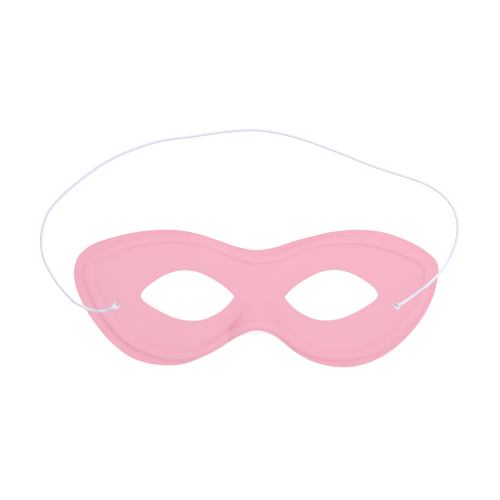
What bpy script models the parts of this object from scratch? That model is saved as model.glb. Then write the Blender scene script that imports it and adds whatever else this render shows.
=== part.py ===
"""Domino mask: a pressed shell with a raised bead round its rim, two eye holes and a knotted elastic cord.

The mask lies face up. +X runs along its length to the viewer's right, +Y towards the brow and +Z out of
its front. The origin is under the middle of the shell, on the surface that it rests on.
"""

from collections import namedtuple
from math import cos, radians, sin, tau

import bmesh
import bpy
import numpy as np
from mathutils import Vector
from mathutils.geometry import delaunay_2d_cdt
from mathutils.kdtree import KDTree

# Shell sizes, in metres
MASK_LENGTH = 0.178
MASK_HEIGHT = 0.067
SHELL_WALL = 0.0014
FLANGE_WIDTH = 0.0030
BEAD_WIDTH = 0.0038
BEAD_HEIGHT = 0.0009

# How far the shell stands up from the surface it lies on, and how deep in from the flange the body's
# rise eases off
BROW_RISE = 0.0160
CHEEK_RISE = 0.0115
BODY_RISE = 0.0056
ROLL_WIDTH = 0.0100
NOSE_RISE = 0.0065

# Half widths of the nose bulge at its top and at its foot, and where it starts below the brow
NOSE_TOP_HALF_WIDTH = 0.0025
NOSE_FOOT_HALF_WIDTH = 0.0130
NOSE_TOP_BELOW_BROW = 0.0220

# Holes
EYE_LENGTH = 0.0456
EYE_HEIGHT = 0.0244
CORD_HOLE_DIAMETER = 0.0032

# Elastic cord and its knots
CORD_DIAMETER = 0.0015
KNOT_WIDTH = 0.0046
KNOT_THICKNESS = 0.0032
KNOT_TAIL = 0.0042
GAP = 0.0003

# Shares of the half length within which the cheek edge lifts off the surface, of the section's height
# that lies flat before the brow's rise begins, and of the flange that lies flat before the body's
CHEEK_LIFT_SHARE = 0.62
CHEEK_FLAT_SHARE = 0.12
REST_SHARE = 0.5

# How fast the nose bulge flares and rises towards its foot, and how sharply the brow and cheek sides of
# the body's dome meet
NOSE_FLARE = 1.6
NOSE_SWELL = 1.4
DOME_SHARPNESS = 2.5

# Fineness of the mesh
OUTLINE_STEPS = 3
EYE_STEPS = 2
DENSE_STEPS = 80
CORD_HOLE_SIDES = 12
BEAD_STATIONS = (0.0, 0.25, 0.5, 0.75, 1.0)
GRID_SPACING = 0.0026
SLOPE_STEP = 0.0003
STEEPEST_SLOPE = 1.4
SHALLOWEST = 1e-6

# One upright section of the shell: its place across, its brow and cheek edges, and the width of the flat
# flange at each edge. Places are shares of half the length and half the height, flanges of FLANGE_WIDTH.
Section = namedtuple("Section", "across brow cheek brow_flange cheek_flange")
SECTIONS = (
    Section(-0.98, 0.591, 0.099, 1.55, 1.68),
    Section(-0.95, 0.691, -0.076, 1.55, 1.65),
    Section(-0.90, 0.784, -0.303, 1.52, 1.55),
    Section(-0.80, 0.880, -0.628, 1.33, 1.50),
    Section(-0.70, 0.946, -0.841, 1.09, 1.52),
    Section(-0.60, 0.987, -0.942, 0.95, 1.38),
    Section(-0.50, 1.003, -0.976, 0.86, 1.00),
    Section(-0.40, 0.986, -0.955, 0.72, 0.62),
    Section(-0.30, 0.928, -0.859, 0.49, 0.32),
    Section(-0.20, 0.839, -0.723, 0.47, 0.28),
    Section(-0.10, 0.749, -0.549, 0.70, 0.26),
    Section(0.00, 0.706, -0.461, 0.90, 0.38),
    Section(0.10, 0.743, -0.538, 1.03, 0.35),
    Section(0.20, 0.830, -0.754, 0.80, 0.50),
    Section(0.30, 0.902, -0.907, 0.68, 0.72),
    Section(0.40, 0.962, -0.984, 0.80, 0.97),
    Section(0.50, 0.996, -1.005, 1.04, 1.08),
    Section(0.60, 0.998, -0.955, 1.22, 1.10),
    Section(0.70, 0.960, -0.834, 1.36, 0.92),
    Section(0.80, 0.874, -0.636, 1.33, 0.98),
    Section(0.90, 0.744, -0.329, 1.19, 0.90),
    Section(0.95, 0.650, -0.100, 1.10, 0.84),
    Section(0.98, 0.576, 0.104, 1.10, 0.90),
)

# The two wing tips, which close the outline between the brow and cheek edges
Tip = namedtuple("Tip", "across up flange")
LEFT_TIP = Tip(-1.0, 0.36, 1.60)
RIGHT_TIP = Tip(1.0, 0.45, 1.08)

# One eye hole's lids, from the rounded outer corner to the sharp inner one: shares of half the eye's
# length and half its height
Lids = namedtuple("Lids", "out upper lower")
EYE_OUTER_CORNER = (1.0, 0.03)
EYE_INNER_CORNER = (-1.0, 0.0)
EYE_LIDS = (
    Lids(0.97, 0.165, -0.105),
    Lids(0.90, 0.325, -0.235),
    Lids(0.75, 0.550, -0.420),
    Lids(0.50, 0.840, -0.670),
    Lids(0.25, 1.005, -0.860),
    Lids(0.00, 1.040, -0.955),
    Lids(-0.25, 0.950, -0.945),
    Lids(-0.50, 0.735, -0.800),
    Lids(-0.75, 0.445, -0.520),
    Lids(-0.90, 0.205, -0.245),
)

# Where each eye hole and cord hole is centred, in shares of half the length and half the height, with the
# eye's tilt and the way its knot's tail points, in degrees
Side = namedtuple("Side", "name outward eye_across eye_up eye_tilt hole_across hole_up tail_heading")
SIDES = (
    Side("left", -1, -0.375, 0.028, 0.0, -0.768, -0.109, 35.0),
    Side("right", 1, 0.411, 0.033, 1.0, 0.774, -0.109, 160.0),
)

# The elastic cord's route in metres, from the left hole over the rim, round in a loop and back to the right
CORD_ROUTE = (
    (-0.0684, -0.0037, 0.0041),
    (-0.0684, -0.0037, 0.0064),
    (-0.0687, -0.0039, 0.0083),
    (-0.0701, -0.0047, 0.0085),
    (-0.0726, -0.0058, 0.0067),
    (-0.0760, -0.0063, 0.0055),
    (-0.0800, -0.0059, 0.0033),
    (-0.0842, -0.0042, 0.0024),
    (-0.0888, -0.0016, 0.0011),
    (-0.0926, 0.0022, 0.0008),
    (-0.0969, 0.0074, 0.0008),
    (-0.1035, 0.0193, 0.0008),
    (-0.1048, 0.0275, 0.0008),
    (-0.1038, 0.0356, 0.0008),
    (-0.1011, 0.0424, 0.0008),
    (-0.0951, 0.0496, 0.0008),
    (-0.0827, 0.0601, 0.0008),
    (-0.0691, 0.0688, 0.0008),
    (-0.0474, 0.0767, 0.0008),
    (-0.0330, 0.0788, 0.0008),
    (-0.0128, 0.0816, 0.0008),
    (-0.0011, 0.0822, 0.0008),
    (0.0082, 0.0813, 0.0008),
    (0.0208, 0.0783, 0.0008),
    (0.0398, 0.0715, 0.0008),
    (0.0572, 0.0646, 0.0008),
    (0.0829, 0.0558, 0.0008),
    (0.0908, 0.0507, 0.0008),
    (0.0964, 0.0438, 0.0008),
    (0.0984, 0.0365, 0.0008),
    (0.0978, 0.0286, 0.0008),
    (0.0943, 0.0193, 0.0016),
    (0.0904, 0.0135, 0.0033),
    (0.0842, 0.0071, 0.0058),
    (0.0778, 0.0022, 0.0066),
    (0.0734, -0.0009, 0.0073),
    (0.0705, -0.0028, 0.0085),
    (0.0690, -0.0037, 0.0083),
    (0.0689, -0.0037, 0.0064),
    (0.0689, -0.0037, 0.0043),
)
CORD_POINTS = 80
CORD_BEVEL_RESOLUTION = 2

HALF_SIZE = np.array((MASK_LENGTH / 2, MASK_HEIGHT / 2))


def clear_scene():
    """Removes whatever the file opened with."""
    for thing in list(bpy.data.objects):
        bpy.data.objects.remove(thing, do_unlink=True)


def make_material(name, colour, roughness, metallic=0.0):
    """A plain Principled material."""
    material = bpy.data.materials.new(name)
    material.use_nodes = True
    shader = material.node_tree.nodes["Principled BSDF"]
    shader.inputs["Base Color"].default_value = (*colour, 1.0)
    shader.inputs["Roughness"].default_value = roughness
    shader.inputs["Metallic"].default_value = metallic
    return material


def add_object(name, mesh, material, location=(0.0, 0.0, 0.0)):
    """Links a mesh as a smooth-shaded object."""
    thing = bpy.data.objects.new(name, mesh)
    thing.location = location
    bpy.context.collection.objects.link(thing)
    mesh.materials.append(material)
    mesh.shade_smooth()
    mesh.set_sharp_from_angle(angle=radians(35.0))
    return thing


def smooth_spans(points, steps, closed=True, corner=None):
    """Samples a smooth curve through the points, which may turn sharply at the corner point."""
    points = np.asarray(points, dtype=float)
    count = len(points)
    samples = []
    for index in range(count if closed else count - 1):
        start, end = points[index], points[(index + 1) % count]
        before = points[index - 1] if closed or index > 0 else 2 * start - end
        after = points[(index + 2) % count] if closed or index + 2 < count else 2 * end - start
        if index == corner:
            before = 2 * start - end
        if (index + 1) % count == corner:
            after = 2 * end - start
        first, middle, last = (np.linalg.norm(b - a) ** 0.5
                               for a, b in ((before, start), (start, end), (end, after)))
        chord = (end - start) / middle
        leave = middle * ((start - before) / first - (end - before) / (first + middle) + chord)
        arrive = middle * (chord - (after - start) / (middle + last) + (after - end) / last)
        for share in np.arange(steps) / steps:
            samples.append((2 * share ** 3 - 3 * share ** 2 + 1) * start
                           + (share ** 3 - 2 * share ** 2 + share) * leave
                           + (3 * share ** 2 - 2 * share ** 3) * end
                           + (share ** 3 - share ** 2) * arrive)
    if not closed:
        samples.append(points[-1])
    return np.array(samples)


def outline(steps):
    """The shell's edge, clockwise from above, as rows of x, y and flange width."""
    brow = [(s.across, s.brow, s.brow_flange) for s in SECTIONS]
    cheek = [(s.across, s.cheek, s.cheek_flange) for s in reversed(SECTIONS)]
    rows = brow + [RIGHT_TIP] + cheek + [LEFT_TIP]
    return smooth_spans(np.array(rows) * (*HALF_SIZE, FLANGE_WIDTH), steps)


def eye_outline(side, steps):
    """One eye hole's edge, with its sharp corner towards the nose."""
    upper = [(row.out, row.upper) for row in EYE_LIDS]
    lower = [(row.out, row.lower) for row in reversed(EYE_LIDS)]
    rows = [EYE_OUTER_CORNER] + upper + [EYE_INNER_CORNER] + lower
    points = np.array(rows) * (side.outward * EYE_LENGTH / 2, EYE_HEIGHT / 2)
    edge = smooth_spans(points, steps, corner=len(upper) + 1)
    tilt = radians(side.eye_tilt)
    turned = edge @ np.array(((cos(tilt), sin(tilt)), (-sin(tilt), cos(tilt))))
    return turned + HALF_SIZE * (side.eye_across, side.eye_up)


def cord_hole_centre(side):
    """The middle of one cord hole."""
    return HALF_SIZE * (side.hole_across, side.hole_up)


def cord_hole_outline(side):
    """One round cord hole's edge."""
    turns = np.arange(CORD_HOLE_SIDES) * tau / CORD_HOLE_SIDES
    ring = np.column_stack((np.cos(turns), np.sin(turns)))
    return cord_hole_centre(side) + ring * CORD_HOLE_DIAMETER / 2


def nearest_tree(points):
    """A search tree over flat points."""
    tree = KDTree(len(points))
    for index, point in enumerate(points):
        tree.insert((point[0], point[1], 0.0), index)
    tree.balance()
    return tree


DENSE_OUTLINE = outline(DENSE_STEPS)
OUTLINE_TREE = nearest_tree(DENSE_OUTLINE)
BROW_EDGE = DENSE_OUTLINE[:len(SECTIONS) * DENSE_STEPS]
CHEEK_EDGE = DENSE_OUTLINE[(len(SECTIONS) + 1) * DENSE_STEPS:(2 * len(SECTIONS) + 1) * DENSE_STEPS][::-1]
EDGE_TREES = (nearest_tree(BROW_EDGE), nearest_tree(CHEEK_EDGE))


def rim_depth(points):
    """How far each point lies inside the shell's edge, past the flange there."""
    found = [OUTLINE_TREE.find((x, y, 0.0)) for x, y in points]
    flange = DENSE_OUTLINE[[index for _, index, _ in found], 2]
    return np.array([distance for _, _, distance in found]) - flange


def section_edges(x):
    """The heights in y of the brow and cheek edges at x."""
    return tuple(np.interp(x, edge[:, 0], edge[:, 1]) for edge in (BROW_EDGE, CHEEK_EDGE))


def dome_depth(points):
    """How deep each point lies inside the rest strip, blended smoothly between the brow and cheek sides."""
    total = np.zeros(len(points))
    for edge, tree in zip((BROW_EDGE, CHEEK_EDGE), EDGE_TREES):
        found = [tree.find((x, y, 0.0)) for x, y in points]
        flange = edge[[index for _, index, _ in found], 2]
        depth = np.array([distance for _, _, distance in found]) - flange * REST_SHARE
        total += np.clip(depth, SHALLOWEST, None) ** -DOME_SHARPNESS
    return np.clip(total ** (-1 / DOME_SHARPNESS) - SHALLOWEST, 0.0, None)


def ease(share):
    """A smooth step from 0 to 1."""
    share = np.clip(share, 0.0, 1.0)
    return share * share * (3 - 2 * share)


def nose_bulge(x, y):
    """The nose bulge's height: a tent that widens and rises towards the nose notch."""
    middle_brow, middle_cheek = section_edges(0.0)
    top = middle_brow - NOSE_TOP_BELOW_BROW
    fall = np.clip((top - y) / (top - middle_cheek), 0.0, None)
    flare = np.minimum(fall, 1.0) ** NOSE_FLARE
    half_width = NOSE_TOP_HALF_WIDTH + (NOSE_FOOT_HALF_WIDTH - NOSE_TOP_HALF_WIDTH) * flare
    across = np.clip(np.abs(x) / half_width, 0.0, 1.0)
    left_flank = 1 - across ** 2
    right_flank = (1 - across ** 2) ** 2
    ridge = NOSE_RISE * np.minimum(fall, 1.2) ** NOSE_SWELL
    return ridge * np.where(x < 0.0, left_flank, (left_flank + right_flank) / 2)


def back_height(points):
    """The height of the shell's underside, which lies on the surface along the outer cheek edges."""
    x, y = points[:, 0], points[:, 1]
    across = np.abs(x) / HALF_SIZE[0]
    brow, cheek = section_edges(x)
    upward = (y - cheek) / (brow - cheek)
    brow_rim = BROW_RISE * np.clip(1 - across ** 2, 0.0, None)
    cheek_rim = CHEEK_RISE * np.clip(1 - (across / CHEEK_LIFT_SHARE) ** 2, 0.0, None) ** 2
    rim = cheek_rim + (brow_rim - cheek_rim) * ease((upward - CHEEK_FLAT_SHARE) / (1 - CHEEK_FLAT_SHARE))
    dome = BODY_RISE * (1 - np.exp(-dome_depth(points) / ROLL_WIDTH))
    return rim + dome + nose_bulge(x, y)


def bead_height(points):
    """The raised bead between its two creases."""
    share = np.clip(rim_depth(points) / BEAD_WIDTH, 0.0, 1.0)
    return BEAD_HEIGHT * 4 * share * (1 - share)


def front_height(points):
    """The height of the shell's front, a wall's thickness off its underside, with the bead on it."""
    step = np.array((SLOPE_STEP, 0.0))
    slope_x = (back_height(points + step) - back_height(points - step)) / (2 * SLOPE_STEP)
    slope_y = (back_height(points + step[::-1]) - back_height(points - step[::-1])) / (2 * SLOPE_STEP)
    slope = np.minimum(np.hypot(slope_x, slope_y), STEEPEST_SLOPE)
    return back_height(points) + SHELL_WALL * np.hypot(1.0, slope) + bead_height(points)


def inward_ring(edge, flange_share, bead_share):
    """Points along the edge moved in over the flange and the bead, less those past a corner's middle."""
    along = np.roll(edge, -1, axis=0)[:, :2] - np.roll(edge, 1, axis=0)[:, :2]
    inward = np.column_stack((along[:, 1], -along[:, 0])) / np.linalg.norm(along, axis=1)[:, None]
    reach = edge[:, 2:] * flange_share + bead_share * BEAD_WIDTH
    ring = edge[:, :2] + inward * reach
    kept = ring[rim_depth(ring) > (reach - edge[:, 2:])[:, 0] - 0.06 * BEAD_WIDTH]
    apart = np.linalg.norm(kept - np.roll(kept, 1, axis=0), axis=1) > BEAD_WIDTH / 8
    return kept[apart]


def inside(points, loop):
    """Which points lie inside a closed loop."""
    x, y = points[:, 0, None], points[:, 1, None]
    start, end = loop, np.roll(loop, -1, axis=0)
    rising = (start[:, 1] > y) != (end[:, 1] > y)
    run = np.where(end[:, 1] == start[:, 1], 1.0, end[:, 1] - start[:, 1])
    crossing = start[:, 0] + (y - start[:, 1]) * (end[:, 0] - start[:, 0]) / run
    return np.count_nonzero(rising & (x < crossing), axis=1) % 2 == 1


def filling_grid(holes):
    """A triangular grid of points inside the bead and clear of the holes."""
    rows = np.arange(-HALF_SIZE[1], HALF_SIZE[1], GRID_SPACING * 0.866)
    columns = np.arange(-HALF_SIZE[0], HALF_SIZE[0], GRID_SPACING)
    grid = np.array([(x + (index % 2) * GRID_SPACING / 2, y)
                     for index, y in enumerate(rows) for x in columns])
    grid = grid[inside(grid, DENSE_OUTLINE[:, :2])]
    grid = grid[rim_depth(grid) > BEAD_WIDTH + GRID_SPACING * 0.4]
    for hole in holes:
        tree = nearest_tree(hole)
        clear = np.array([tree.find((x, y, 0.0))[2] > GRID_SPACING * 0.5 for x, y in grid])
        grid = grid[clear & ~inside(grid, hole)]
    return grid


def shell_plan(edge_steps, eye_steps):
    """The shell's flat triangulation: points, and triangles with their upper side up."""
    edge = outline(edge_steps)
    holes = [eye_outline(side, eye_steps) for side in SIDES] + [cord_hole_outline(side) for side in SIDES]
    rings = [inward_ring(edge, REST_SHARE, 0.0)]
    rings += [inward_ring(edge, 1.0, station) for station in BEAD_STATIONS]
    loops = [edge[:, :2]] + rings + holes
    points, links = [], []
    for loop in loops:
        first = len(points)
        points.extend(loop)
        links.extend((first + index, first + (index + 1) % len(loop)) for index in range(len(loop)))
    points.extend(filling_grid(holes))
    found, _, faces, *_ = delaunay_2d_cdt([Vector(p) for p in points], links, [], 0, 1e-6)
    flat = np.array([tuple(p) for p in found])
    faces = np.array(faces)
    middles = flat[faces].mean(axis=1)
    kept = inside(middles, edge[:, :2])
    for hole in holes:
        kept &= ~inside(middles, hole)
    faces = faces[kept]
    used = np.unique(faces)
    renumber = np.zeros(len(flat), dtype=int)
    renumber[used] = np.arange(len(used))
    return flat[used], renumber[faces]


def build_shell(material):
    """The pressed shell: front, back, and the cut walls round its edge and its holes."""
    flat, faces = shell_plan(OUTLINE_STEPS, EYE_STEPS)
    shell = bmesh.new()
    heights = (front_height(flat), back_height(flat))
    front, back = ([shell.verts.new((x, y, z)) for (x, y), z in zip(flat, height)] for height in heights)
    for a, b, c in faces:
        shell.faces.new((front[a], front[b], front[c]))
        shell.faces.new((back[c], back[b], back[a]))
    edges = {(a, b) for face in faces for a, b in zip(face, np.roll(face, -1))}
    for a, b in sorted(edges):
        if (b, a) not in edges:
            shell.faces.new((front[b], front[a], back[a], back[b]))
    mesh = bpy.data.meshes.new("mask_shell")
    shell.to_mesh(mesh)
    shell.free()
    return add_object("mask_shell", mesh, material)


def knot_centre(side):
    """The middle of a knot that bears on the shell's underside, a gap below it."""
    centre = cord_hole_centre(side)
    turns = np.arange(CORD_HOLE_SIDES) * tau / CORD_HOLE_SIDES
    round_it = centre + np.column_stack((np.cos(turns), np.sin(turns))) * KNOT_WIDTH / 2
    top = back_height(round_it).min() - GAP
    return Vector((*centre, top - KNOT_THICKNESS / 2))


def build_knot(side, material):
    """A knot behind a cord hole: a squat lump with the cord's short cut tail, joined to it."""
    lump = bmesh.new()
    bmesh.ops.create_uvsphere(lump, u_segments=14, v_segments=9, radius=0.5)
    bmesh.ops.scale(lump, vec=(KNOT_WIDTH, KNOT_WIDTH, KNOT_THICKNESS), verts=lump.verts)
    mesh = bpy.data.meshes.new(f"{side.name}_knot")
    lump.to_mesh(mesh)
    lump.free()
    knot = add_object(f"{side.name}_knot", mesh, material, knot_centre(side))

    tail = bmesh.new()
    length = KNOT_WIDTH / 2 + KNOT_TAIL
    bmesh.ops.create_cone(tail, cap_ends=True, segments=8, radius1=CORD_DIAMETER / 2,
                          radius2=CORD_DIAMETER / 2, depth=length)
    bmesh.ops.translate(tail, vec=(0.0, 0.0, length / 2), verts=tail.verts)
    tail_mesh = bpy.data.meshes.new(f"{side.name}_knot_tail")
    tail.to_mesh(tail_mesh)
    tail.free()
    cutter = add_object(f"{side.name}_knot_tail", tail_mesh, material, knot.location)
    cutter.rotation_euler = (0.0, radians(90.0), radians(side.tail_heading))
    cutter.hide_render = True
    cutter.display_type = "WIRE"

    joined = knot.modifiers.new("tail", "BOOLEAN")
    joined.operation = "UNION"
    joined.object = cutter
    return knot


def build_cord(material):
    """The elastic cord, a plain tube along its route."""
    fine = smooth_spans(CORD_ROUTE, 40, closed=False)
    travelled = np.concatenate(((0.0,), np.cumsum(np.linalg.norm(np.diff(fine, axis=0), axis=1))))
    stations = np.linspace(0.0, travelled[-1], CORD_POINTS)
    route = np.column_stack([np.interp(stations, travelled, fine[:, axis]) for axis in range(3)])
    curve = bpy.data.curves.new("elastic_cord", "CURVE")
    curve.dimensions = "3D"
    curve.bevel_depth = CORD_DIAMETER / 2
    curve.bevel_resolution = CORD_BEVEL_RESOLUTION
    curve.use_fill_caps = True
    spline = curve.splines.new("POLY")
    spline.points.add(len(route) - 1)
    for point, place in zip(spline.points, route):
        point.co = (*place, 1.0)
    curve.materials.append(material)
    cord = bpy.data.objects.new("elastic_cord", curve)
    bpy.context.collection.objects.link(cord)
    return cord


def main():
    """Builds every piece of the mask."""
    clear_scene()
    pink = make_material("pink_cloth", (0.905, 0.456, 0.558), 0.85)
    white = make_material("white_elastic", (0.90, 0.90, 0.94), 0.60)
    build_shell(pink)
    for side in SIDES:
        build_knot(side, white)
    build_cord(white)


main()
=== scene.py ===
"""Looks of the pink domino mask: its pressed cloth shell, its white elastic cord and the two knots."""

from collections import namedtuple
from math import cos, pi, radians, sin, tau

import bpy
import numpy as np
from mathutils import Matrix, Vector
from mathutils.geometry import delaunay_2d_cdt
from mathutils.kdtree import KDTree


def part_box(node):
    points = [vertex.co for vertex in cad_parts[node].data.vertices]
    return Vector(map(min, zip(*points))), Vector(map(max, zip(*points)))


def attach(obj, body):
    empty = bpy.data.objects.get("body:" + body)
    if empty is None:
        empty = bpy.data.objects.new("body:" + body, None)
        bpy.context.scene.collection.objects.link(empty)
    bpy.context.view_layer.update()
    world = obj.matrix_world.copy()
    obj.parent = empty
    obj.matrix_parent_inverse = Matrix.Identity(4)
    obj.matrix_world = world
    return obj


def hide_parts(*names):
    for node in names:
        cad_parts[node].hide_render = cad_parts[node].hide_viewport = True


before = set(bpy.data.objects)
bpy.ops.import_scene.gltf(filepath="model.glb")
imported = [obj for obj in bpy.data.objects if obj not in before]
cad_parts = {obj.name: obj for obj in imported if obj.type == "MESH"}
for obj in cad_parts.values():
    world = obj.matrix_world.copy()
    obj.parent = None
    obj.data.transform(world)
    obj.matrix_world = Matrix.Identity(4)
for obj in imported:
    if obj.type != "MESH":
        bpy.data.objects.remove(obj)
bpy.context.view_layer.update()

# Sizes, in metres
MASK_LENGTH = 0.178
MASK_HEIGHT = 0.067
SHELL_WALL = 0.0014
FLANGE_WIDTH = 0.0030
BEAD_WIDTH = 0.0038
BEAD_HEIGHT = 0.0009
BROW_RISE = 0.0160
CHEEK_RISE = 0.0115
BODY_RISE = 0.0056
ROLL_WIDTH = 0.0100
NOSE_RISE = 0.0065
NOSE_TOP_HALF_WIDTH = 0.0025
NOSE_FOOT_HALF_WIDTH = 0.0130
NOSE_TOP_BELOW_BROW = 0.0220
EYE_LENGTH = 0.0456
EYE_HEIGHT = 0.0244
CORD_HOLE_DIAMETER = 0.0032
CORD_DIAMETER = 0.0015
KNOT_WIDTH = 0.0046
KNOT_THICKNESS = 0.0032
KNOT_TAIL = 0.0042

# Shares of the half length within which the cheek edge lifts, of a section's height that stays flat, and
# of the flange that lies flat before the body's rise begins
CHEEK_LIFT_SHARE = 0.62
CHEEK_FLAT_SHARE = 0.12
REST_SHARE = 0.5
SHALLOWEST = 1e-6

# How fast the nose bulge flares and rises towards its foot, and how sharply the brow and cheek sides of
# the body's dome meet
NOSE_FLARE = 1.6
NOSE_SWELL = 1.4
DOME_SHARPNESS = 2.5

# Fine relief of the pressed cloth: the bead's sloped sides, and a shallow groove along the foot of each
BEAD_SIDE = 0.0016
CREASE_DEPTH = 0.00012
CREASE_WIDTH = 0.0006
EDGE_ROUND = 0.00035
BACK_GROOVE_DEPTH = 0.0004

# The cloth's share of the wall, the lip of white lining under the nose notch, and the lining's funnel, which
# narrows and rises in each cord hole
CLOTH_SHARE = 0.2
LINING_LIP = 0.0012
LIP_HALF_WIDTH = 0.0085
LIP_REACH = 0.0006
HOLE_AT_LINING = 0.0019
HOLE_LINING_RISE = 0.0011

# How much shade is painted on the flange, along the cut edges, along the nose bulge's left fold and over its
# left flank, in shares of the darkest painted shade, and how wide the painted shade bands are
SHADE_BAND_WIDTH = 0.0009
FLANGE_SHADE = 0.18
CUT_EDGE_SHADE = 0.4
CUT_REACH = 0.0004
NOSE_FOLD_SHADE = 0.55
NOSE_FOLD_SHADE_WIDTH = 0.0015
FLANK_SHADE = 0.3

# Shares of the nose bulge's fall: where painted shade begins on its fold and flank, where the fold's painted
# shade ends and over how long, and where the bulge stops rising
FOLD_START = 0.25
FLANK_START = 0.4
FOLD_END = 0.85
FOLD_END_SPAN = 0.2
RIDGE_END = 1.2

# Fineness of the shell's mesh and of the search, the steps that slopes and routes are read in, and the angles
# past which an edge stays sharp
OUTLINE_STEPS = 16
EYE_STEPS = 10
DENSE_STEPS = 100
CORD_HOLE_SIDES = 40
GRID_SPACING = 0.0008
RING_SPACING = 0.00026
EDGE_REACHES = (0.00012, 0.00035, 0.0007)
SLOPE_STEP = 0.0002
STEEPEST_SLOPE = 1.4
ROUTE_STEPS = 60
POINTS_AT_ONCE = 4000
SHELL_SHARP_ANGLE = 50.0
CORD_SHARP_ANGLE = 60.0

# How far the rings of points go past the bead, in widths of its side. Then, in shares of their spacings: how
# much closer than planned a ring may come to its neighbour or to the edge, how far the grid keeps from the
# rings and the holes, and the height of the grid's rows
RING_OVERRUN = 1.3
RING_SLACK = 0.4
EDGE_SLACK = 0.8
GRID_SLACK = 0.5
HOLE_SLACK = 0.4
GRID_ROW = 0.866

# One upright section of the shell: its place across, its brow and cheek edges, and the width of the flat
# flange at each edge. Places are shares of half the length and half the height, flanges of FLANGE_WIDTH.
Section = namedtuple("Section", "across brow cheek brow_flange cheek_flange")
SECTIONS = (
    Section(-0.98, 0.591, 0.099, 1.55, 1.68),
    Section(-0.95, 0.691, -0.076, 1.55, 1.65),
    Section(-0.90, 0.784, -0.303, 1.52, 1.55),
    Section(-0.80, 0.880, -0.628, 1.33, 1.50),
    Section(-0.70, 0.946, -0.841, 1.09, 1.52),
    Section(-0.60, 0.987, -0.942, 0.95, 1.38),
    Section(-0.50, 1.003, -0.976, 0.86, 1.00),
    Section(-0.40, 0.986, -0.955, 0.72, 0.62),
    Section(-0.30, 0.928, -0.859, 0.49, 0.32),
    Section(-0.20, 0.839, -0.723, 0.47, 0.28),
    Section(-0.10, 0.749, -0.549, 0.70, 0.26),
    Section(0.00, 0.706, -0.461, 0.90, 0.38),
    Section(0.10, 0.743, -0.538, 1.03, 0.35),
    Section(0.20, 0.830, -0.754, 0.80, 0.50),
    Section(0.30, 0.902, -0.907, 0.68, 0.72),
    Section(0.40, 0.962, -0.984, 0.80, 0.97),
    Section(0.50, 0.996, -1.005, 1.04, 1.08),
    Section(0.60, 0.998, -0.955, 1.22, 1.10),
    Section(0.70, 0.960, -0.834, 1.36, 0.92),
    Section(0.80, 0.874, -0.636, 1.33, 0.98),
    Section(0.90, 0.744, -0.329, 1.19, 0.90),
    Section(0.95, 0.650, -0.100, 1.10, 0.84),
    Section(0.98, 0.576, 0.104, 1.10, 0.90),
)

# How deep the grooves at the bead's outer and inner sides are and how much shade is painted along them, along
# the brow and the cheek edges: places across in shares of half the length, and shares of the deepest groove
# and the darkest painted shade
CreaseGrooveAndShade = namedtuple("CreaseGrooveAndShade", "across brow_outer brow_inner cheek_outer cheek_inner")
CREASE_GROOVES_AND_SHADE = (
    CreaseGrooveAndShade(-1.00, 0.35, 0.00, 0.35, 0.00),
    CreaseGrooveAndShade(-0.88, 0.35, 0.00, 0.80, 0.00),
    CreaseGrooveAndShade(-0.70, 0.40, 0.15, 1.00, 0.00),
    CreaseGrooveAndShade(-0.55, 0.40, 0.20, 0.80, 0.05),
    CreaseGrooveAndShade(-0.40, 0.40, 0.10, 0.50, 0.30),
    CreaseGrooveAndShade(-0.25, 0.20, 0.00, 0.20, 0.60),
    CreaseGrooveAndShade(-0.15, 0.20, 0.10, 0.00, 0.80),
    CreaseGrooveAndShade(-0.08, 0.20, 0.15, 0.00, 0.20),
    CreaseGrooveAndShade(0.05, 0.40, 0.10, 0.00, 0.05),
    CreaseGrooveAndShade(0.20, 0.60, 0.00, 0.60, 0.10),
    CreaseGrooveAndShade(0.35, 0.65, 0.05, 0.80, 0.15),
    CreaseGrooveAndShade(0.50, 0.40, 0.20, 0.60, 0.20),
    CreaseGrooveAndShade(0.65, 0.15, 0.35, 0.25, 0.20),
    CreaseGrooveAndShade(0.80, 0.00, 0.45, 0.00, 0.05),
    CreaseGrooveAndShade(0.92, 0.00, 0.40, 0.00, 0.00),
    CreaseGrooveAndShade(1.00, 0.00, 0.00, 0.00, 0.10),
)

# The two wing tips, which close the outline between the brow and cheek edges
Tip = namedtuple("Tip", "across up flange")
LEFT_TIP = Tip(-1.0, 0.36, 1.60)
RIGHT_TIP = Tip(1.0, 0.45, 1.08)

# One eye hole's lids, from the rounded outer corner to the sharp inner one: shares of half the eye's
# length and half its height
Lids = namedtuple("Lids", "out upper lower")
EYE_OUTER_CORNER = (1.0, 0.03)
EYE_INNER_CORNER = (-1.0, 0.0)
EYE_LIDS = (
    Lids(0.97, 0.165, -0.105),
    Lids(0.90, 0.325, -0.235),
    Lids(0.75, 0.550, -0.420),
    Lids(0.50, 0.840, -0.670),
    Lids(0.25, 1.005, -0.860),
    Lids(0.00, 1.040, -0.955),
    Lids(-0.25, 0.950, -0.945),
    Lids(-0.50, 0.735, -0.800),
    Lids(-0.75, 0.445, -0.520),
    Lids(-0.90, 0.205, -0.245),
)

# Where each eye hole and cord hole is centred, in shares of half the length and half the height, with the
# eye's tilt and the way its knot's tail points, in degrees
Side = namedtuple("Side", "name outward eye_across eye_up eye_tilt hole_across hole_up tail_heading")
SIDES = (
    Side("left", -1, -0.375, 0.028, 0.0, -0.768, -0.109, 35.0),
    Side("right", 1, 0.411, 0.033, 1.0, 0.774, -0.109, 160.0),
)

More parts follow.
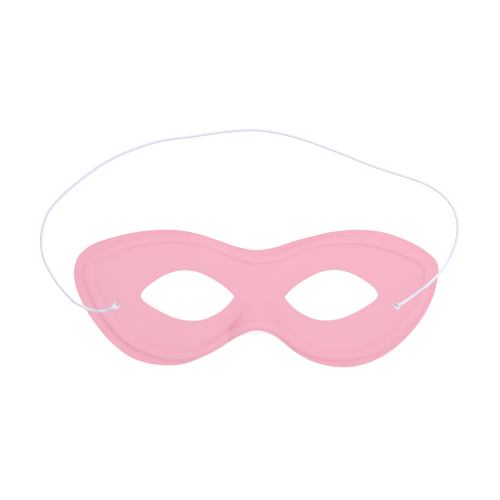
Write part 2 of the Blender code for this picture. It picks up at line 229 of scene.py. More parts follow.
# The elastic cord's route in metres, from the left hole over the rim, round in a loop and back to the right
CORD_ROUTE = (
    (-0.0684, -0.0037, 0.0041),
    (-0.0684, -0.0037, 0.0064),
    (-0.0687, -0.0039, 0.0083),
    (-0.0701, -0.0047, 0.0085),
    (-0.0726, -0.0058, 0.0067),
    (-0.0760, -0.0063, 0.0055),
    (-0.0800, -0.0059, 0.0033),
    (-0.0842, -0.0042, 0.0024),
    (-0.0888, -0.0016, 0.0011),
    (-0.0926, 0.0022, 0.0008),
    (-0.0969, 0.0074, 0.0008),
    (-0.1035, 0.0193, 0.0008),
    (-0.1048, 0.0275, 0.0008),
    (-0.1038, 0.0356, 0.0008),
    (-0.1011, 0.0424, 0.0008),
    (-0.0951, 0.0496, 0.0008),
    (-0.0827, 0.0601, 0.0008),
    (-0.0691, 0.0688, 0.0008),
    (-0.0474, 0.0767, 0.0008),
    (-0.0330, 0.0788, 0.0008),
    (-0.0128, 0.0816, 0.0008),
    (-0.0011, 0.0822, 0.0008),
    (0.0082, 0.0813, 0.0008),
    (0.0208, 0.0783, 0.0008),
    (0.0398, 0.0715, 0.0008),
    (0.0572, 0.0646, 0.0008),
    (0.0829, 0.0558, 0.0008),
    (0.0908, 0.0507, 0.0008),
    (0.0964, 0.0438, 0.0008),
    (0.0984, 0.0365, 0.0008),
    (0.0978, 0.0286, 0.0008),
    (0.0943, 0.0193, 0.0016),
    (0.0904, 0.0135, 0.0033),
    (0.0842, 0.0071, 0.0058),
    (0.0778, 0.0022, 0.0066),
    (0.0734, -0.0009, 0.0073),
    (0.0705, -0.0028, 0.0085),
    (0.0690, -0.0037, 0.0083),
    (0.0689, -0.0037, 0.0064),
    (0.0689, -0.0037, 0.0043),
)

# The camera looks straight down at the middle of the photograph's view, and the floor reaches far past it
VIEW_CENTRE = (-0.0030, 0.0236)
VIEW_WIDTH = 0.2438
VIEW_PLANE_HEIGHT = 0.004
CAMERA_HEIGHT = 4.0
SENSOR_WIDTH = 36.0
FLOOR_REACH = 4.0

# The cord's fine mesh and braid, and how many of its rings go by between two points of its stated path
CORD_RING_SPACING = 0.0004
CORD_SIDES = 24
CORD_PATH_STEP = 6
BRAID_STRANDS = 16
BRAID_PITCH = 0.0050

# Each overhand knot: the share of its reach that its lobes circle at, where its turns start and end in half
# turns, how many points they have, how far the cord drops before them, and where the tail leaves the lump
KNOT_CIRCLE = 0.66
KNOT_TURNS = (0.25, 2.05, 30)
KNOT_DROP = 0.0004
TAIL_START = 1.1

# Colours, as linear values, the share of its white that the elastic is painted darker between its strands as
# shade, and the floor's own glow
PINK = (0.826, 0.412, 0.507)
PINK_PALE = (0.836, 0.422, 0.517)
PINK_DEEP = (0.816, 0.397, 0.492)
# The darker pink painted as shade along the creases, the flange, the cut edges and the nose fold
PINK_PAINTED_SHADE = (0.800, 0.348, 0.447)
LINING_WHITE = (0.880, 0.885, 0.890)
ELASTIC_WHITE = (0.600, 0.620, 0.722)
ELASTIC_GAP_SHADE = 0.93
FLOOR_GREY = (0.20, 0.20, 0.20)
FLOOR_GLOW = 0.90

# The weave of a cloth: its pitch and depth in metres, and the strength of its sheen
Weave = namedtuple("Weave", "pitch depth sheen")
CLOTH_WEAVE = Weave(0.00042, 0.00003, 0.25)
LINING_WEAVE = Weave(0.00060, 0.00005, 0.0)

# The lights: the even white of the room, and the place, size, power and colour of each lamp
ROOM_STRENGTH = 0.92
Lamp = namedtuple("Lamp", "name place size power colour")
KEY_LAMP = Lamp("key_light", (0.34, 0.43, 1.50), 0.4, 5.5, (1.0, 1.0, 1.0))
CORD_LAMP = Lamp("cord_light", (0.95, 1.03, 0.90), 0.3, 14.0, (1.0, 0.98, 0.90))

HALF_SIZE = np.array((MASK_LENGTH / 2, MASK_HEIGHT / 2))


def link(thing):
    """Puts an object in the scene and returns it."""
    bpy.context.scene.collection.objects.link(thing)
    return thing


def make_camera():
    """The camera, straight above the photograph's middle."""
    data = bpy.data.cameras.new("camera")
    data.sensor_width = SENSOR_WIDTH
    data.lens = SENSOR_WIDTH * (CAMERA_HEIGHT - VIEW_PLANE_HEIGHT) / VIEW_WIDTH
    data.clip_start = 0.01
    data.clip_end = 20.0
    camera = link(bpy.data.objects.new("camera", data))
    camera.location = (*VIEW_CENTRE, CAMERA_HEIGHT)
    bpy.context.scene.camera = camera


def smooth_spans(points, steps, closed=True, corner=None):
    """Samples a smooth curve through the points, which may turn sharply at the corner point."""
    points = np.asarray(points, dtype=float)
    count = len(points)
    samples = []
    for index in range(count if closed else count - 1):
        start, end = points[index], points[(index + 1) % count]
        before = points[index - 1] if closed or index > 0 else 2 * start - end
        after = points[(index + 2) % count] if closed or index + 2 < count else 2 * end - start
        if index == corner:
            before = 2 * start - end
        if (index + 1) % count == corner:
            after = 2 * end - start
        first, middle, last = (np.linalg.norm(b - a) ** 0.5
                               for a, b in ((before, start), (start, end), (end, after)))
        chord = (end - start) / middle
        leave = middle * ((start - before) / first - (end - before) / (first + middle) + chord)
        arrive = middle * (chord - (after - start) / (middle + last) + (after - end) / last)
        for share in np.arange(steps) / steps:
            samples.append((2 * share ** 3 - 3 * share ** 2 + 1) * start
                           + (share ** 3 - 2 * share ** 2 + share) * leave
                           + (3 * share ** 2 - 2 * share ** 3) * end
                           + (share ** 3 - share ** 2) * arrive)
    if not closed:
        samples.append(points[-1])
    return np.array(samples)


def evenly_along(route, spacing):
    """The smooth route's points, read at an even spacing."""
    fine = smooth_spans(route, ROUTE_STEPS, closed=False)
    travelled = np.concatenate(((0.0,), np.cumsum(np.linalg.norm(np.diff(fine, axis=0), axis=1))))
    stations = np.linspace(0.0, travelled[-1], int(round(travelled[-1] / spacing)) + 1)
    return np.column_stack([np.interp(stations, travelled, fine[:, axis]) for axis in range(3)])


def tube_mesh(name, path):
    """A capped length of cord along a path, with a UV map of turns around it and braid pitches along it."""
    path = np.asarray(path)
    along = np.gradient(path, axis=0)
    along /= np.linalg.norm(along, axis=1)[:, None]
    across = np.cross(along[0], (0.0, 1.0, 0.0) if abs(along[0][1]) < 0.9 else (1.0, 0.0, 0.0))
    travelled = np.concatenate(((0.0,), np.cumsum(np.linalg.norm(np.diff(path, axis=0), axis=1))))
    verts = []
    for place, heading in zip(path, along):
        across = across - heading * across.dot(heading)
        across /= np.linalg.norm(across)
        up = np.cross(heading, across)
        for side in range(CORD_SIDES):
            turn = tau * side / CORD_SIDES
            verts.append(place + CORD_DIAMETER / 2 * (cos(turn) * across + sin(turn) * up))
    rings = len(path)
    faces, marks = [], []
    for ring in range(rings - 1):
        for side in range(CORD_SIDES):
            after = (side + 1) % CORD_SIDES
            low, high = ring * CORD_SIDES, (ring + 1) * CORD_SIDES
            faces.append((low + side, high + side, high + after, low + after))
            left, right = side / CORD_SIDES, (side + 1) / CORD_SIDES
            start, end = travelled[ring] / BRAID_PITCH, travelled[ring + 1] / BRAID_PITCH
            marks.extend(((left, start), (left, end), (right, end), (right, start)))
    for ring, order in ((0, 1), (rings - 1, -1)):
        faces.append(tuple(ring * CORD_SIDES + side for side in range(CORD_SIDES))[::order])
        marks.extend([(0.0, 0.0)] * CORD_SIDES)
    mesh = bpy.data.meshes.new(name)
    mesh.from_pydata([tuple(v) for v in verts], [], faces)
    uv = mesh.uv_layers.new(name="braid")
    uv.data.foreach_set("uv", np.array(marks, dtype=float).ravel())
    mesh.shade_smooth()
    mesh.set_sharp_from_angle(angle=radians(CORD_SHARP_ANGLE))
    return link(bpy.data.objects.new(name, mesh))


def build_cord(material):
    """The elastic cord along its route, with its path and its length."""
    path = evenly_along(CORD_ROUTE, CORD_RING_SPACING)
    cord = tube_mesh("elastic", path)
    cord.data.materials.append(material)
    # The photograph shows no shade beside the cord, so the cloth under it isn't darkened
    cord.visible_diffuse = False
    cord.visible_shadow = False
    length = float(np.linalg.norm(np.diff(path, axis=0), axis=1).sum())
    return cord, [tuple(place) for place in path[::CORD_PATH_STEP]] + [tuple(path[-1])], length


def outline(steps):
    """The shell's edge, clockwise from above, as rows of x, y and flange width."""
    brow = [(s.across, s.brow, s.brow_flange) for s in SECTIONS]
    cheek = [(s.across, s.cheek, s.cheek_flange) for s in reversed(SECTIONS)]
    rows = brow + [RIGHT_TIP] + cheek + [LEFT_TIP]
    return smooth_spans(np.array(rows) * (*HALF_SIZE, FLANGE_WIDTH), steps)


def eye_outline(side, steps):
    """One eye hole's edge, with its sharp corner towards the nose."""
    upper = [(row.out, row.upper) for row in EYE_LIDS]
    lower = [(row.out, row.lower) for row in reversed(EYE_LIDS)]
    rows = [EYE_OUTER_CORNER] + upper + [EYE_INNER_CORNER] + lower
    points = np.array(rows) * (side.outward * EYE_LENGTH / 2, EYE_HEIGHT / 2)
    edge = smooth_spans(points, steps, corner=len(upper) + 1)
    tilt = radians(side.eye_tilt)
    turned = edge @ np.array(((cos(tilt), sin(tilt)), (-sin(tilt), cos(tilt))))
    return turned + HALF_SIZE * (side.eye_across, side.eye_up)


def cord_hole_centre(side):
    """The middle of one cord hole."""
    return HALF_SIZE * (side.hole_across, side.hole_up)


def cord_hole_outline(side):
    """One round cord hole's edge."""
    turns = np.arange(CORD_HOLE_SIDES) * tau / CORD_HOLE_SIDES
    ring = np.column_stack((np.cos(turns), np.sin(turns)))
    return cord_hole_centre(side) + ring * CORD_HOLE_DIAMETER / 2


def nearest_tree(points):
    """A search tree over flat points."""
    tree = KDTree(len(points))
    for index, point in enumerate(points):
        tree.insert((point[0], point[1], 0.0), index)
    tree.balance()
    return tree


DENSE_OUTLINE = outline(DENSE_STEPS)
OUTLINE_TREE = nearest_tree(DENSE_OUTLINE)
BROW_EDGE = DENSE_OUTLINE[:len(SECTIONS) * DENSE_STEPS]
CHEEK_EDGE = DENSE_OUTLINE[(len(SECTIONS) + 1) * DENSE_STEPS:(2 * len(SECTIONS) + 1) * DENSE_STEPS][::-1]
EDGE_TREES = (nearest_tree(BROW_EDGE), nearest_tree(CHEEK_EDGE))
HOLES = [eye_outline(side, EYE_STEPS) for side in SIDES] + [cord_hole_outline(side) for side in SIDES]
HOLE_TREE = nearest_tree(np.vstack(HOLES))


def edge_distance(points):
    """How far each point lies from the shell's edge, and the flange's width there."""
    found = [OUTLINE_TREE.find((x, y, 0.0)) for x, y in points]
    flange = DENSE_OUTLINE[[index for _, index, _ in found], 2]
    return np.array([distance for _, _, distance in found]), flange


def rim_depth(points):
    """How far each point lies inside the shell's edge, past the flange there."""
    distance, flange = edge_distance(points)
    return distance - flange


def cut_distance(points):
    """How far each point lies from the nearest cut edge, of the rim or of a hole."""
    hole = np.array([HOLE_TREE.find((x, y, 0.0))[2] for x, y in points])
    return np.minimum(edge_distance(points)[0], hole)


def section_edges(x):
    """The heights in y of the brow and cheek edges at x."""
    return tuple(np.interp(x, edge[:, 0], edge[:, 1]) for edge in (BROW_EDGE, CHEEK_EDGE))


def dome_depth(points):
    """How deep each point lies inside the rest strip, blended smoothly between the brow and cheek sides."""
    total = np.zeros(len(points))
    for edge, tree in zip((BROW_EDGE, CHEEK_EDGE), EDGE_TREES):
        found = [tree.find((x, y, 0.0)) for x, y in points]
        flange = edge[[index for _, index, _ in found], 2]
        depth = np.array([distance for _, _, distance in found]) - flange * REST_SHARE
        total += np.clip(depth, SHALLOWEST, None) ** -DOME_SHARPNESS
    return np.clip(total ** (-1 / DOME_SHARPNESS) - SHALLOWEST, 0.0, None)


def ease(share):
    """A smooth step from 0 to 1."""
    share = np.clip(share, 0.0, 1.0)
    return share * share * (3 - 2 * share)


def nose_spread(y):
    """How far down its length the nose bulge is at y, from 0 to about 1, and its half width there."""
    middle_brow, middle_cheek = section_edges(0.0)
    top = middle_brow - NOSE_TOP_BELOW_BROW
    fall = np.clip((top - y) / (top - middle_cheek), 0.0, None)
    flare = np.minimum(fall, 1.0) ** NOSE_FLARE
    return fall, NOSE_TOP_HALF_WIDTH + (NOSE_FOOT_HALF_WIDTH - NOSE_TOP_HALF_WIDTH) * flare


def nose_bulge(x, y):
    """The nose bulge's height: a tent that widens and rises towards the nose notch."""
    fall, half_width = nose_spread(y)
    across = np.clip(np.abs(x) / half_width, 0.0, 1.0)
    left_flank = 1 - across ** 2
    right_flank = (1 - across ** 2) ** 2
    ridge = NOSE_RISE * np.minimum(fall, RIDGE_END) ** NOSE_SWELL
    return ridge * np.where(x < 0.0, left_flank, (left_flank + right_flank) / 2)


def back_height(points):
    """The height of the shell's underside, which lies on the surface along the outer cheek edges."""
    x, y = points[:, 0], points[:, 1]
    across = np.abs(x) / HALF_SIZE[0]
    brow, cheek = section_edges(x)
    upward = (y - cheek) / (brow - cheek)
    brow_rim = BROW_RISE * np.clip(1 - across ** 2, 0.0, None)
    cheek_rim = CHEEK_RISE * np.clip(1 - (across / CHEEK_LIFT_SHARE) ** 2, 0.0, None) ** 2
    rim = cheek_rim + (brow_rim - cheek_rim) * ease((upward - CHEEK_FLAT_SHARE) / (1 - CHEEK_FLAT_SHARE))
    dome = BODY_RISE * (1 - np.exp(-dome_depth(points) / ROLL_WIDTH))
    return rim + dome + nose_bulge(x, y)


def slopes(points):
    """How steeply the shell rises at each point along x and y, held to the steepest slope."""
    step = np.array((SLOPE_STEP, 0.0))
    slope_x = (back_height(points + step) - back_height(points - step)) / (2 * SLOPE_STEP)
    slope_y = (back_height(points + step[::-1]) - back_height(points - step[::-1])) / (2 * SLOPE_STEP)
    slope = np.column_stack((slope_x, slope_y))
    steepness = np.linalg.norm(slope, axis=1)
    return slope * (np.minimum(steepness, STEEPEST_SLOPE) / np.maximum(steepness, SHALLOWEST))[:, None]


def bead_profile(depth):
    """The bead's section, from 0 at the feet of its sides to 1 along its flat top."""
    return ease(depth / BEAD_SIDE + 0.5) * ease((BEAD_WIDTH - depth) / BEAD_SIDE + 0.5)


def crease_strengths(points):
    """How deep the grooves at the bead's outer and inner foot are at each point, and how much shade is
    painted along them.
    """
    x, y = points[:, 0], points[:, 1]
    brow, cheek = section_edges(x)
    above = y > (brow + cheek) / 2
    rows = np.array(CREASE_GROOVES_AND_SHADE).T
    brow_outer, brow_inner, cheek_outer, cheek_inner = (
        np.interp(x / HALF_SIZE[0], rows[0], row) for row in rows[1:])
    return np.where(above, brow_outer, cheek_outer), np.where(above, brow_inner, cheek_inner)


def crease_profile(points, depth):
    """The pressed grooves along the feet of the bead's two sides."""
    outer, inner = crease_strengths(points)
    outer_groove = np.exp(-((depth + BEAD_SIDE / 2) / CREASE_WIDTH) ** 2)
    inner_groove = np.exp(-((depth - BEAD_WIDTH - BEAD_SIDE / 2) / CREASE_WIDTH) ** 2)
    return outer * outer_groove + inner * inner_groove


def edge_rounding(distance):
    """How far the front drops at a cut edge, where the cutter rolled it over."""
    share = 1 - np.clip(distance / EDGE_ROUND, 0.0, 1.0)
    return EDGE_ROUND * (1 - np.sqrt(1 - share ** 2))


def shell_sides(points):
    """The front and back of the shell over each flat point, with the fine relief and a square-cut edge."""
    depth = rim_depth(points)
    slope = slopes(points)
    stretch = np.hypot(1.0, np.linalg.norm(slope, axis=1))
    front = back_height(points) + SHELL_WALL * stretch + BEAD_HEIGHT * bead_profile(depth)
    front = front - CREASE_DEPTH * crease_profile(points, depth) - edge_rounding(cut_distance(points))
    under = points + SHELL_WALL * slope / stretch[:, None]
    lip = np.exp(-(points[:, 0] / LIP_HALF_WIDTH) ** 2) * np.exp(-edge_distance(points)[0] / LIP_REACH)
    under[:, 1] -= LINING_LIP * np.where(points[:, 1] < 0.0, lip, 0.0)
    back = back_height(points) + (SHELL_WALL * stretch - SHELL_WALL / stretch)
    for side in SIDES:
        away = points - cord_hole_centre(side)
        distance = np.linalg.norm(away, axis=1)
        closing = np.exp(-(distance - CORD_HOLE_DIAMETER / 2) / EDGE_REACHES[0])
        under -= (away.T / distance * closing).T * (CORD_HOLE_DIAMETER - HOLE_AT_LINING) / 2
        back += HOLE_LINING_RISE * closing
    back = back + BACK_GROOVE_DEPTH * bead_profile(depth)
    return np.column_stack((points, front)), np.column_stack((under, back))


def painted_shade_share(points):
    """How much shade is painted at each point: along the creases, over the flange, at the cut edges and on
    the nose bulge's left fold and flank.
    """
    depth = rim_depth(points)
    x, y = points[:, 0], points[:, 1]
    outer, inner = crease_strengths(points)
    outer = outer * np.exp(-(depth / SHADE_BAND_WIDTH) ** 2)
    inner = inner * np.exp(-((depth - BEAD_WIDTH) / SHADE_BAND_WIDTH) ** 2)
    flange = FLANGE_SHADE * ease(-depth / SHADE_BAND_WIDTH)
    cut = CUT_EDGE_SHADE * np.exp(-(cut_distance(points) / CUT_REACH) ** 2)
    fall, half_width = nose_spread(y)
    foot = ease(2 * (fall - FOLD_START)) * (1 - ease((fall - FOLD_END) / FOLD_END_SPAN))
    nose = NOSE_FOLD_SHADE * foot * np.exp(-((x + half_width) / NOSE_FOLD_SHADE_WIDTH) ** 2)
    leftward = np.where(x > -half_width, np.clip(-x / half_width, 0.0, 1.0), 0.0)
    flank = FLANK_SHADE * ease(2 * (fall - FLANK_START)) * leftward ** 2
    return np.clip(np.maximum(outer + inner, flange) + cut + np.maximum(nose, flank), 0.0, 1.0)


def inward_offset(edge):
    """The unit directions that point in from a clockwise edge."""
    along = np.roll(edge, -1, axis=0)[:, :2] - np.roll(edge, 1, axis=0)[:, :2]
    return np.column_stack((along[:, 1], -along[:, 0])) / np.linalg.norm(along, axis=1)[:, None]


def rim_rings(edge):
    """Rings of points round the rim: at the rounded edge, across the flange, and across the bead."""
    inward = inward_offset(edge)
    flange = edge[:, 2:]
    rings = [(edge[:, :2] + inward * reach, reach - flange[:, 0]) for reach in EDGE_REACHES]
    for depth in np.arange(-BEAD_SIDE, BEAD_WIDTH + RING_OVERRUN * BEAD_SIDE, RING_SPACING):
        rings.append((edge[:, :2] + inward * (flange + depth), np.full(len(edge), depth)))
    kept = []
    for ring, depth in rings:
        distance, width = edge_distance(ring)
        apart = distance - width > depth - RING_SPACING * RING_SLACK
        kept.append(ring[apart & (distance > EDGE_REACHES[0] * EDGE_SLACK)])
    return kept


def inside(points, loop):
    """Which points lie inside a closed loop."""
    result = np.zeros(len(points), dtype=bool)
    start, end = loop, np.roll(loop, -1, axis=0)
    run = np.where(end[:, 1] == start[:, 1], 1.0, end[:, 1] - start[:, 1])
    for first in range(0, len(points), POINTS_AT_ONCE):
        batch = slice(first, first + POINTS_AT_ONCE)
        x, y = points[batch, 0, None], points[batch, 1, None]
        rising = (start[:, 1] > y) != (end[:, 1] > y)
        crossing = start[:, 0] + (y - start[:, 1]) * (end[:, 0] - start[:, 0]) / run
        result[batch] = np.count_nonzero(rising & (x < crossing), axis=1) % 2 == 1
    return result


def hole_rings(hole, turn):
    """Rings of points just outside a hole's edge, for its rounded lip."""
    away = inward_offset(hole) * -turn
    return [hole[:, :2] + away * reach for reach in EDGE_REACHES]


def turn_sign(loop):
    """1 for a clockwise loop and -1 for one that runs the other way."""
    x, y = loop[:, 0], loop[:, 1]
    return -np.sign(np.sum(x * np.roll(y, -1) - y * np.roll(x, -1)))


def filling_grid(edge):
    """A triangular grid of points inside the bead and clear of the holes."""
    rows = np.arange(-HALF_SIZE[1], HALF_SIZE[1], GRID_SPACING * GRID_ROW)
    columns = np.arange(-HALF_SIZE[0], HALF_SIZE[0], GRID_SPACING)
    grid = np.array([(x + (index % 2) * GRID_SPACING / 2, y)
                     for index, y in enumerate(rows) for x in columns])
    grid = grid[inside(grid, edge)]
    grid = grid[rim_depth(grid) > BEAD_WIDTH + RING_OVERRUN * BEAD_SIDE + GRID_SPACING * GRID_SLACK]
    from_holes = np.array([HOLE_TREE.find((x, y, 0.0))[2] for x, y in grid])
    grid = grid[from_holes > EDGE_REACHES[-1] + GRID_SPACING * HOLE_SLACK]
    for hole in HOLES:
        grid = grid[~inside(grid, hole)]
    return grid


def shell_plan():
    """The shell's flat triangulation: points, and triangles with their upper side up."""
    edge = outline(OUTLINE_STEPS)
    points, links = [], []
    for loop in [edge[:, :2]] + HOLES:
        first = len(points)
        points.extend(loop)
        links.extend((first + index, first + (index + 1) % len(loop)) for index in range(len(loop)))
    for ring in rim_rings(edge):
        points.extend(ring)
    for hole in HOLES:
        for ring in hole_rings(hole, turn_sign(hole)):
            points.extend(ring[~inside(ring, hole)])
    points.extend(filling_grid(edge[:, :2]))
    found, _, faces, *_ = delaunay_2d_cdt([Vector(p) for p in points], links, [], 0, 1e-6)
    flat = np.array([tuple(p) for p in found])
    faces = np.array(faces)
    middles = flat[faces].mean(axis=1)
    kept = inside(middles, edge[:, :2])
    for hole in HOLES:
        kept &= ~inside(middles, hole)
    faces = faces[kept]
    used = np.unique(faces)
    renumber = np.zeros(len(flat), dtype=int)
    renumber[used] = np.arange(len(used))
    return flat[used], renumber[faces]


def build_shell(front_material, back_material):
    """The pressed shell as one fine closed mesh: a cloth front over a lining, which meet at a seam ring."""
    flat, faces = shell_plan()
    front, back = shell_sides(flat)
    count = len(flat)
    edges = np.vstack((faces[:, (0, 1)], faces[:, (1, 2)], faces[:, (2, 0)]))
    directed = {(a, b) for a, b in edges.tolist()}
    rims = sorted((a, b) for a, b in directed if (b, a) not in directed)
    seam_of = {point: 2 * count + index for index, point in enumerate(sorted({a for a, _ in rims}))}
    seam = front[list(seam_of)]
    seam[:, 2] += CLOTH_SHARE * (back[list(seam_of), 2] - seam[:, 2])
    cloth_walls = [(b, a, seam_of[a], seam_of[b]) for a, b in rims]
    lining_walls = [(seam_of[b], seam_of[a], a + count, b + count) for a, b in rims]
    under = (faces[:, ::-1] + count).tolist()
    mesh = bpy.data.meshes.new("pressed_shell")
    mesh.from_pydata(np.vstack((front, back, seam)).tolist(), [],
                     faces.tolist() + cloth_walls + lining_walls + under)
    slots = [0] * (len(faces) + len(cloth_walls)) + [1] * (len(lining_walls) + len(under))
    mesh.polygons.foreach_set("material_index", slots)
    # Painted shade: each point's share of the darker pink, none on the lining's underside and full on the
    # seam ring, so the cut walls are painted dark
    pressed = mesh.attributes.new("pressed", "FLOAT", "POINT")
    pressed.data.foreach_set("value", np.concatenate((painted_shade_share(flat), np.zeros(count), np.ones(len(seam)))))
    for material in (front_material, back_material):
        mesh.materials.append(material)
    mesh.shade_smooth()
    mesh.set_sharp_from_angle(angle=radians(SHELL_SHARP_ANGLE))
    return link(bpy.data.objects.new("pressed_shell", mesh))


def knot_path(side):
    """An overhand knot's line: down from the hole, round itself in three lobes, and out in a short tail."""
    low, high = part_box(f"{side.name}_knot")
    centre = np.array((*cord_hole_centre(side), (low[2] + high[2]) / 2))
    heading = radians(side.tail_heading)
    reach = KNOT_WIDTH / 2 - CORD_DIAMETER / 2
    big, small = reach * KNOT_CIRCLE, reach * (1 - KNOT_CIRCLE)
    lift = (KNOT_THICKNESS - CORD_DIAMETER) / 2
    turns = np.linspace(*KNOT_TURNS) * pi
    lobes = [centre + np.array(((big + small * cos(3 * t)) * cos(2 * t + heading),
                                (big + small * cos(3 * t)) * sin(2 * t + heading),
                                lift * sin(3 * t))) for t in turns]
    route = CORD_ROUTE[0] if side.outward < 0 else CORD_ROUTE[-1]
    entry = [np.array(route), np.array(route) - (0.0, 0.0, KNOT_DROP)]
    outward = np.array((cos(heading), sin(heading), 0.0))
    tail_start = centre + KNOT_WIDTH / 2 * TAIL_START * outward
    tail_end = centre + (KNOT_WIDTH / 2 + KNOT_TAIL) * outward
    return entry + lobes + [tail_start, tail_end]


def build_knot(side, material):
    """The knot behind one cord hole, tied in the cord itself."""
    path = evenly_along(knot_path(side), CORD_RING_SPACING)
    knot = tube_mesh(f"{side.name}_overhand_knot", path)
    knot.data.materials.append(material)
    return knot


class Shading:
    """A material's node tree, with short calls for the nodes that it needs."""

    def __init__(self, name):
        self.material = bpy.data.materials.new(name)
        self.material.use_nodes = True
        self.tree = self.material.node_tree
        self.shader = self.tree.nodes["Principled BSDF"]

    def node(self, kind, **inputs):
        """Adds a node and sets or links its inputs by name or number."""
        made = self.tree.nodes.new(kind)
        for key, value in inputs.items():
            self.feed(made, key, value)
        return made

    def feed(self, made, key, value):
        """Sets one input to a value, or links it to another node's output."""
        socket = made.inputs[int(key[1:])] if key[0] == "_" else made.inputs[key.replace("_", " ")]
        if isinstance(value, bpy.types.NodeSocket):
            self.tree.links.new(value, socket)
        else:
            socket.default_value = value

    def math(self, operation, first, second=0.0):
        """A Math node's result."""
        made = self.node("ShaderNodeMath", _0=first, _1=second)
        made.operation = operation
        return made.outputs[0]

    def noise(self, coordinates, scale, detail=2.0, roughness=0.5):
        """A noise texture's value."""
        made = self.node("ShaderNodeTexNoise", Vector=coordinates, Scale=scale, Detail=detail,
                         Roughness=roughness)
        return made.outputs[0]

    def ramp(self, value, low, high, first, second):
        """A colour that goes from the first to the second as the value goes from low to high."""
        made = self.node("ShaderNodeValToRGB", _0=value)
        made.color_ramp.elements[0].position = low
        made.color_ramp.elements[1].position = high
        made.color_ramp.elements[0].color = (*first, 1.0)
        made.color_ramp.elements[1].color = (*second, 1.0)
        return made.outputs[0]

    def bump(self, height, distance, strength=1.0, under=None):
        """A bump's normal, on top of another if one is given."""
        made = self.node("ShaderNodeBump", Height=height, Distance=distance, Strength=strength)
        if under is not None:
            self.tree.links.new(under, made.inputs["Normal"])
        return made.outputs[0]


def cloth_material(name, colours, weave, painted_shade_colour):
    """Matte woven cloth: a fine weave, felted fibres and faint mottling, with shade painted in a deeper
    colour where the mesh marks it.
    """
    s = Shading(name)
    place = s.node("ShaderNodeTexCoord").outputs["Object"]
    split = s.node("ShaderNodeSeparateXYZ", Vector=place)
    warp = s.math("SINE", s.math("MULTIPLY", split.outputs[0], tau / weave.pitch))
    weft = s.math("SINE", s.math("MULTIPLY", split.outputs[1], tau / weave.pitch))
    crossings = s.math("MULTIPLY", warp, weft)
    fibres = s.noise(place, 2600.0, detail=3.0, roughness=0.65)
    mottle = s.noise(place, 55.0, detail=4.0, roughness=0.55)
    deep, middle, pale = colours
    broad = s.ramp(mottle, 0.35, 0.65, middle, pale)
    fine = s.ramp(fibres, 0.3, 0.7, deep, pale)
    mixed = s.node("ShaderNodeMix", Factor=0.35)
    mixed.data_type = "RGBA"
    s.tree.links.new(broad, mixed.inputs[6])
    s.tree.links.new(fine, mixed.inputs[7])
    # Painted shade: the colour goes to the darker one where the mesh's attribute marks shade
    pressed = s.node("ShaderNodeAttribute")
    pressed.attribute_name = "pressed"
    coloured = s.node("ShaderNodeMix", Factor=pressed.outputs["Fac"])
    coloured.data_type = "RGBA"
    s.tree.links.new(mixed.outputs[2], coloured.inputs[6])
    coloured.inputs[7].default_value = (*painted_shade_colour, 1.0)
    s.tree.links.new(coloured.outputs[2], s.shader.inputs["Base Color"])
    grain = s.bump(fibres, 0.00005, 0.5)
    woven = s.bump(crossings, weave.depth, 0.6, under=grain)
    s.tree.links.new(woven, s.shader.inputs["Normal"])
    s.shader.inputs["Roughness"].default_value = 0.82
    s.shader.inputs["Specular IOR Level"].default_value = 0.25
    s.shader.inputs["Sheen Weight"].default_value = weave.sheen
    s.shader.inputs["Sheen Roughness"].default_value = 0.45
    s.shader.inputs["Sheen Tint"].default_value = (1.0, 0.86, 0.90, 1.0)
    return s.material


def elastic_material():
    """White braided elastic: crossing strands with painted shade between them, a soft gloss and a cool cast.
    """
    s = Shading("white_braided_elastic")
    marks = s.node("ShaderNodeUVMap")
    marks.uv_map = "braid"
    split = s.node("ShaderNodeSeparateXYZ", Vector=marks.outputs[0])
    around = s.math("MULTIPLY", split.outputs[0], tau * BRAID_STRANDS / 2)
    along = s.math("MULTIPLY", split.outputs[1], tau * BRAID_STRANDS / 2)
    one_way = s.math("COSINE", s.math("ADD", around, along))
    other_way = s.math("COSINE", s.math("SUBTRACT", around, along))
    strands = s.math("MULTIPLY", one_way, other_way)
    # Painted shade: the braid is darker between its strands
    shade = s.ramp(strands, 0.0, 1.0, tuple(c * ELASTIC_GAP_SHADE for c in ELASTIC_WHITE), ELASTIC_WHITE)
    s.tree.links.new(shade, s.shader.inputs["Base Color"])
    place = s.node("ShaderNodeTexCoord").outputs["Object"]
    threads = s.bump(s.noise(place, 5200.0), 0.00002, 0.5)
    s.tree.links.new(s.bump(strands, 0.00004, 0.7, under=threads), s.shader.inputs["Normal"])
    s.shader.inputs["Roughness"].default_value = 0.55
    s.shader.inputs["Sheen Weight"].default_value = 0.15
    return s.material


def floor_material():
    """Plain white paper."""
    s = Shading("white_floor")
    s.shader.inputs["Base Color"].default_value = (*FLOOR_GREY, 1.0)
    s.shader.inputs["Roughness"].default_value = 0.9
    s.shader.inputs["Specular IOR Level"].default_value = 0.0
    s.shader.inputs["Emission Color"].default_value = (1.0, 1.0, 1.0, 1.0)
    s.shader.inputs["Emission Strength"].default_value = FLOOR_GLOW
    return s.material


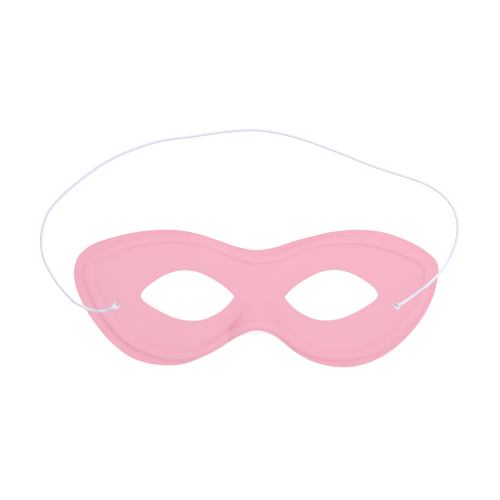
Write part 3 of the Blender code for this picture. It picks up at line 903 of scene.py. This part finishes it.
def build_floor(material):
    """A plain pale floor under the mask."""
    mesh = bpy.data.meshes.new("floor")
    corners = [(x * FLOOR_REACH, y * FLOOR_REACH, 0.0) for x, y in ((-1, -1), (1, -1), (1, 1), (-1, 1))]
    mesh.from_pydata(corners, [], [(0, 1, 2, 3)])
    mesh.materials.append(material)
    floor = link(bpy.data.objects.new("floor", mesh))


def add_area_light(lamp, only_on=()):
    """A square soft light aimed at the mask, which falls on the given pieces alone if there are any."""
    data = bpy.data.lights.new(lamp.name, "AREA")
    data.size = lamp.size
    data.energy = lamp.power
    data.color = lamp.colour
    light = link(bpy.data.objects.new(lamp.name, data))
    light.location = lamp.place
    light.rotation_mode = "QUATERNION"
    light.rotation_quaternion = (-Vector(lamp.place)).to_track_quat("-Z", "Y")
    light.visible_camera = False
    if only_on:
        receivers = bpy.data.collections.new(f"{lamp.name}_receivers")
        for piece in only_on:
            receivers.objects.link(piece)
        light.light_linking.receiver_collection = receivers


def build_lights(cord_pieces):
    """A white room with one weak soft light from the upper right, and a lower one for the cord and knots."""
    world = bpy.data.worlds.new("white_room")
    world.use_nodes = True
    world.node_tree.nodes["Background"].inputs["Color"].default_value = (1.0, 1.0, 1.0, 1.0)
    world.node_tree.nodes["Background"].inputs["Strength"].default_value = ROOM_STRENGTH
    bpy.context.scene.world = world
    add_area_light(KEY_LAMP)
    add_area_light(CORD_LAMP, only_on=cord_pieces)
    bpy.context.scene.view_settings.view_transform = "Standard"
    bpy.context.scene.view_settings.look = "None"


make_camera()
elastic = elastic_material()
cord_piece, cord_path, cord_length = build_cord(elastic)
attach(cord_piece, "root")
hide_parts("elastic_cord")

knots = []
for mask_side in SIDES:
    knot_piece = build_knot(mask_side, elastic)
    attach(knot_piece, "root")
    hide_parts(f"{mask_side.name}_knot")
    knots.append(knot_piece)

shell = build_shell(
    cloth_material("pink_cloth", (PINK_DEEP, PINK, PINK_PALE), CLOTH_WEAVE, PINK_PAINTED_SHADE),
    cloth_material("white_lining", (LINING_WHITE,) * 3, LINING_WEAVE, LINING_WHITE),
)
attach(shell, "root")
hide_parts("mask_shell")

build_floor(floor_material())
build_lights([cord_piece, *knots])
